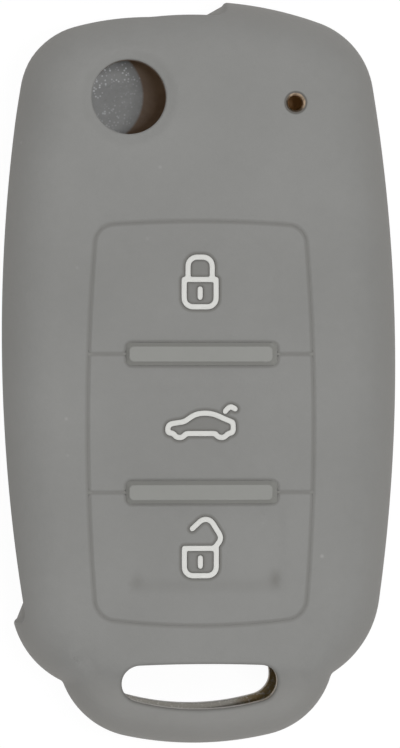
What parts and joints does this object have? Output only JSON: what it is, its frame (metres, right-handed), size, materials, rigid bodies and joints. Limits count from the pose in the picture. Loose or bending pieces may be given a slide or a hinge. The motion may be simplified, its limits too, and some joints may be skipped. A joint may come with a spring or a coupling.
{
  "type": "key fob cover",
  "caption": "Silicone sleeve for a flip key remote: open side for the blade, push pads with symbols between raised bars, release and light holes, and a key ring slot.",
  "frame": {"origin": "centre of the footprint at the back face, which is the lowest plane", "axes": "+X to the right across the keypad, +Y towards the blade end, +Z out of the keypad face"},
  "size_m": [0.0395, 0.0737, 0.017],
  "materials": {
    "sleeve_silicone": "matt grey moulded silicone",
    "pad_silicone": "matt grey moulded silicone",
    "symbol_white": "matt white silicone filling"
  },
  "bodies": {
    "sleeve": {"sleeve": "sleeve_silicone"},
    "lock_button": {"lock_pad": "pad_silicone", "lock_padlock": "symbol_white", "lock_keyhole": "symbol_white"},
    "boot_button": {"boot_pad": "pad_silicone", "boot_car": "symbol_white", "boot_lid": "symbol_white"},
    "unlock_button": {"unlock_pad": "pad_silicone", "unlock_padlock": "symbol_white", "unlock_keyhole": "symbol_white"}
  },
  "joints": [
    {"name": "lock_press", "type": "slide", "parent": "sleeve", "child": "lock_button", "axis": [0, 0, -1], "range_m": [0, 0.0006], "stiffness_N_per_m": 1500},
    {"name": "boot_press", "type": "slide", "parent": "sleeve", "child": "boot_button", "axis": [0, 0, -1], "range_m": [0, 0.0006], "stiffness_N_per_m": 1500},
    {"name": "unlock_press", "type": "slide", "parent": "sleeve", "child": "unlock_button", "axis": [0, 0, -1], "range_m": [0, 0.0006], "stiffness_N_per_m": 1500}
  ]
}
